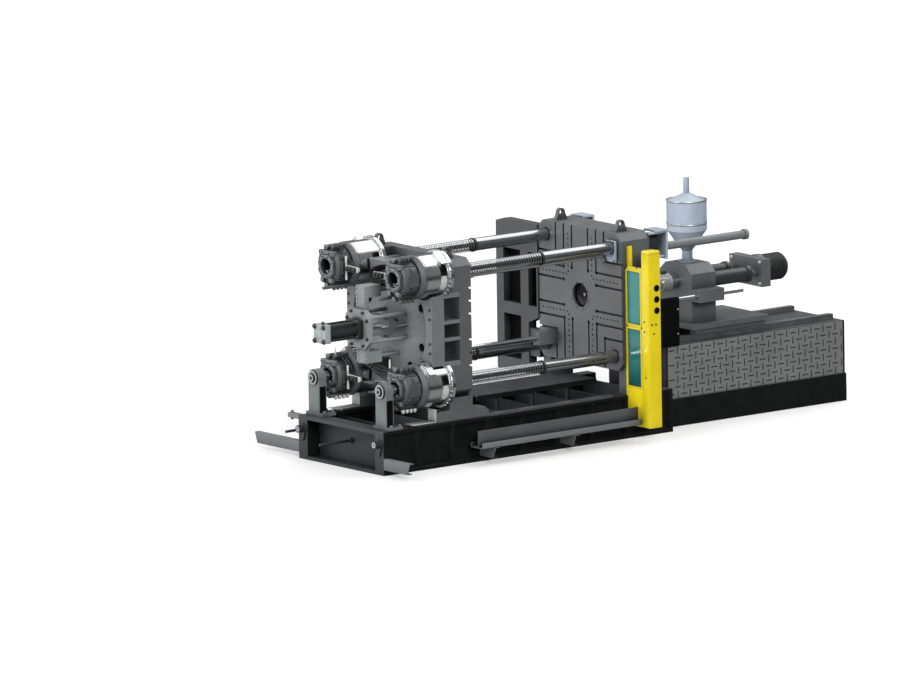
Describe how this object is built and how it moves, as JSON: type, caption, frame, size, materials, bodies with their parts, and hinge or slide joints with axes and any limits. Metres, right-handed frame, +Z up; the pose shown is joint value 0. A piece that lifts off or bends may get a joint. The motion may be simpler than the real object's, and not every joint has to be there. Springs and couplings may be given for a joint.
{
  "type": "injection moulding machine",
  "caption": "Two-platen injection moulding machine: open hydraulic clamp with grooved tie bars on a welded base, sliding platen, ejector, guard column and injection unit.",
  "frame": {"origin": "on the floor below the machine axis, in the plane of the fixed platen's mould face", "axes": "+X from the clamp end to the injection end along the machine axis, +Y to the far side, +Z up"},
  "size_m": [8.119, 3.242, 3.092],
  "materials": {
    "bar_steel": "turned steel",
    "base_paint": "satin dark grey paint",
    "black_rubber": "matt",
    "blue_grey_paint": "blue grey paint",
    "chrome": "hard chrome",
    "dark_steel": "black oxide",
    "galvanized": "galvanized sheet",
    "guard_yellow": "gloss yellow paint",
    "light_paint": "light grey paint",
    "machined_face": "ground steel",
    "platen_paint": "satin grey paint",
    "tinted_window": "tinted polycarbonate",
    "tread_plate": "raised tread pattern"
  },
  "bodies": {
    "machine_base": {"base_beams": "base_paint", "base_end_channel": "base_paint", "base_cross_plates": "base_paint", "way_strips": "machined_face", "mould_deck": "base_paint", "outrigger_channels": "light_paint", "side_gutter": "base_paint", "base_end_fittings": "dark_steel", "tie_bar_pedestals": "light_paint", "upper_tie_bars": "bar_steel", "lower_tie_bars": "bar_steel", "tie_bar_nuts": "dark_steel", "fixed_platen": "platen_paint", "fixed_mould_plate": "platen_paint", "locating_insert": "platen_paint", "fixed_platen_lugs": "dark_steel", "bar_pullers": "blue_grey_paint", "traverse_supports": "blue_grey_paint", "traverse_barrels": "dark_steel", "far_guard_frame": "platen_paint", "guard_column": "guard_yellow", "guard_frame": "guard_yellow", "guard_windows": "tinted_window", "guard_grommets": "black_rubber", "injection_base": "base_paint", "tread_covers": "tread_plate", "carriage_pull_rods": "chrome", "junction_box": "dark_steel"},
    "moving_platen": {"moving_platen": "platen_paint", "platen_rear_casting": "platen_paint", "platen_shoes": "platen_paint", "clamp_cylinders": "chrome", "clamp_cylinder_covers": "platen_paint", "cylinder_port_blocks": "dark_steel", "moving_platen_lugs": "dark_steel", "traverse_rods": "chrome", "ejector_frame": "platen_paint", "ejector_guide_rods": "chrome", "ejector_cylinder": "dark_steel", "valve_manifolds": "dark_steel"},
    "ejector": {"ejector_crosshead": "machined_face"},
    "lock_unit_upper_near": {"lock_unit_upper_near": "base_paint"},
    "lock_unit_upper_far": {"lock_unit_upper_far": "base_paint"},
    "lock_unit_lower_near": {"lock_unit_lower_near": "base_paint"},
    "lock_unit_lower_far": {"lock_unit_lower_far": "base_paint"},
    "half_nut_upper_near_top": {"half_nut_upper_near_top": "machined_face"},
    "half_nut_upper_near_bottom": {"half_nut_upper_near_bottom": "machined_face"},
    "half_nut_upper_far_top": {"half_nut_upper_far_top": "machined_face"},
    "half_nut_upper_far_bottom": {"half_nut_upper_far_bottom": "machined_face"},
    "half_nut_lower_near_top": {"half_nut_lower_near_top": "machined_face"},
    "half_nut_lower_near_bottom": {"half_nut_lower_near_bottom": "machined_face"},
    "half_nut_lower_far_top": {"half_nut_lower_far_top": "machined_face"},
    "half_nut_lower_far_bottom": {"half_nut_lower_far_bottom": "machined_face"},
    "injection_carriage": {"injection_carriage": "platen_paint", "plastic_barrel": "bar_steel", "heater_bands": "galvanized", "feed_hopper": "blue_grey_paint", "injection_cylinders": "dark_steel"},
    "screw_drive": {"screw_drive": "platen_paint"},
    "plastic_screw": {"plastic_screw": "bar_steel"}
  },
  "joints": [
    {"name": "platen_slide", "type": "slide", "parent": "machine_base", "child": "moving_platen", "axis": [1, 0, 0], "range_m": [0, 1.2]},
    {"name": "ejector_slide", "type": "slide", "parent": "moving_platen", "child": "ejector", "axis": [1, 0, 0], "range_m": [0, 0.2]},
    {"name": "clamp_piston_upper_near", "type": "slide", "parent": "moving_platen", "child": "lock_unit_upper_near", "axis": [-1, 0, 0], "range_m": [0, 0.08]},
    {"name": "clamp_piston_upper_far", "type": "slide", "parent": "moving_platen", "child": "lock_unit_upper_far", "axis": [-1, 0, 0], "range_m": [0, 0.08]},
    {"name": "clamp_piston_lower_near", "type": "slide", "parent": "moving_platen", "child": "lock_unit_lower_near", "axis": [-1, 0, 0], "range_m": [0, 0.08]},
    {"name": "clamp_piston_lower_far", "type": "slide", "parent": "moving_platen", "child": "lock_unit_lower_far", "axis": [-1, 0, 0], "range_m": [0, 0.08]},
    {"name": "half_nut_upper_near_top_slide", "type": "slide", "parent": "lock_unit_upper_near", "child": "half_nut_upper_near_top", "axis": [0, 0, -1], "range_m": [0, 0.03]},
    {"name": "half_nut_upper_near_bottom_slide", "type": "slide", "parent": "lock_unit_upper_near", "child": "half_nut_upper_near_bottom", "axis": [0, 0, 1], "range_m": [0, 0.03]},
    {"name": "half_nut_upper_far_top_slide", "type": "slide", "parent": "lock_unit_upper_far", "child": "half_nut_upper_far_top", "axis": [0, 0, -1], "range_m": [0, 0.03]},
    {"name": "half_nut_upper_far_bottom_slide", "type": "slide", "parent": "lock_unit_upper_far", "child": "half_nut_upper_far_bottom", "axis": [0, 0, 1], "range_m": [0, 0.03]},
    {"name": "half_nut_lower_near_top_slide", "type": "slide", "parent": "lock_unit_lower_near", "child": "half_nut_lower_near_top", "axis": [0, 0, -1], "range_m": [0, 0.03]},
    {"name": "half_nut_lower_near_bottom_slide", "type": "slide", "parent": "lock_unit_lower_near", "child": "half_nut_lower_near_bottom", "axis": [0, 0, 1], "range_m": [0, 0.03]},
    {"name": "half_nut_lower_far_top_slide", "type": "slide", "parent": "lock_unit_lower_far", "child": "half_nut_lower_far_top", "axis": [0, 0, -1], "range_m": [0, 0.03]},
    {"name": "half_nut_lower_far_bottom_slide", "type": "slide", "parent": "lock_unit_lower_far", "child": "half_nut_lower_far_bottom", "axis": [0, 0, 1], "range_m": [0, 0.03]},
    {"name": "carriage_slide", "type": "slide", "parent": "machine_base", "child": "injection_carriage", "axis": [1, 0, 0], "range_m": [0, 0.45]},
    {"name": "screw_stroke", "type": "slide", "parent": "injection_carriage", "child": "screw_drive", "axis": [1, 0, 0], "range_m": [0, 0.38]},
    {"name": "screw_spin", "type": "hinge", "parent": "screw_drive", "child": "plastic_screw", "pos_m": [2, 0, 1.762], "axis": [1, 0, 0], "continuous": true}
  ],
  "couplings": [
    {"joint": "clamp_piston_upper_far", "follows": "clamp_piston_upper_near", "ratio": 1},
    {"joint": "clamp_piston_lower_near", "follows": "clamp_piston_upper_near", "ratio": 1},
    {"joint": "clamp_piston_lower_far", "follows": "clamp_piston_upper_near", "ratio": 1},
    {"joint": "half_nut_upper_near_bottom_slide", "follows": "half_nut_upper_near_top_slide", "ratio": 1},
    {"joint": "half_nut_upper_far_top_slide", "follows": "half_nut_upper_near_top_slide", "ratio": 1},
    {"joint": "half_nut_upper_far_bottom_slide", "follows": "half_nut_upper_near_top_slide", "ratio": 1},
    {"joint": "half_nut_lower_near_top_slide", "follows": "half_nut_upper_near_top_slide", "ratio": 1},
    {"joint": "half_nut_lower_near_bottom_slide", "follows": "half_nut_upper_near_top_slide", "ratio": 1},
    {"joint": "half_nut_lower_far_top_slide", "follows": "half_nut_upper_near_top_slide", "ratio": 1},
    {"joint": "half_nut_lower_far_bottom_slide", "follows": "half_nut_upper_near_top_slide", "ratio": 1}
  ]
}
